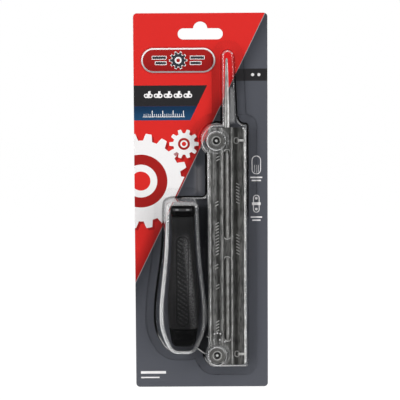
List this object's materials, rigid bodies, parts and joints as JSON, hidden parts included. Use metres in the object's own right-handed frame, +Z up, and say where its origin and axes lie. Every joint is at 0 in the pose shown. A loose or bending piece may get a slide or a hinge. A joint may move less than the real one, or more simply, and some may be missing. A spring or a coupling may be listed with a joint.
{
  "type": "chainsaw file guide hang pack",
  "caption": "Steel chainsaw file guide with a clamped round file, beside a push-on file handle, under a clear blister on a printed hang card.",
  "frame": {"origin": "top of the hang slot, where the hook bears, at the back face of the card", "axes": "+Z up the card, +X to the right of its printed face, -Y out of its printed face"},
  "size_m": [0.103, 0.0252, 0.29],
  "materials": {
    "board": "printed board under a gloss varnish",
    "clear_plastic": "clear thermoformed sheet",
    "guide_steel": "pressed steel, dark zinc",
    "clamp_steel": "bright zinc",
    "file_steel": "fine spiral-cut hardened steel",
    "hard_plastic": "glossy black moulding",
    "grip_plastic": "satin black overmoulding"
  },
  "bodies": {
    "pack": {"backing_card": "board", "guide_plate": "guide_steel", "clamp_strap_upper": "clamp_steel", "clamp_strap_lower": "clamp_steel", "clamp_stud_upper": "clamp_steel", "clamp_stud_lower": "clamp_steel", "handle_core": "hard_plastic", "handle_grip": "grip_plastic"},
    "blister": {"blister": "clear_plastic"},
    "file": {"round_file": "file_steel"},
    "washer_upper": {"washer_upper": "clamp_steel"},
    "washer_lower": {"washer_lower": "clamp_steel"},
    "nut_upper": {"thumb_nut_upper": "clamp_steel"},
    "nut_lower": {"thumb_nut_lower": "clamp_steel"}
  },
  "joints": [
    {"name": "blister_lift", "type": "slide", "parent": "pack", "child": "blister", "axis": [0, -1, 0], "range_m": [0, 0.06]},
    {"name": "file_slide", "type": "slide", "parent": "pack", "child": "file", "axis": [0, 0, 1], "range_m": [-0.001, 0.002]},
    {"name": "washer_rise_upper", "type": "slide", "parent": "pack", "child": "washer_upper", "axis": [0, -1, 0], "range_m": [0, 0.0021]},
    {"name": "nut_turn_upper", "type": "hinge", "parent": "washer_upper", "child": "nut_upper", "pos_m": [0.0118, -0.01, -0.091], "axis": [0, -1, 0], "range_deg": [0, 1080]},
    {"name": "washer_rise_lower", "type": "slide", "parent": "pack", "child": "washer_lower", "axis": [0, -1, 0], "range_m": [0, 0.0021]},
    {"name": "nut_turn_lower", "type": "hinge", "parent": "washer_lower", "child": "nut_lower", "pos_m": [0.0118, -0.01, -0.2563], "axis": [0, -1, 0], "range_deg": [0, 1080]}
  ],
  "couplings": [
    {"joint": "washer_rise_upper", "follows": "nut_turn_upper", "m_per_rad": 0.00011141},
    {"joint": "washer_rise_lower", "follows": "nut_turn_lower", "m_per_rad": 0.00011141}
  ]
}
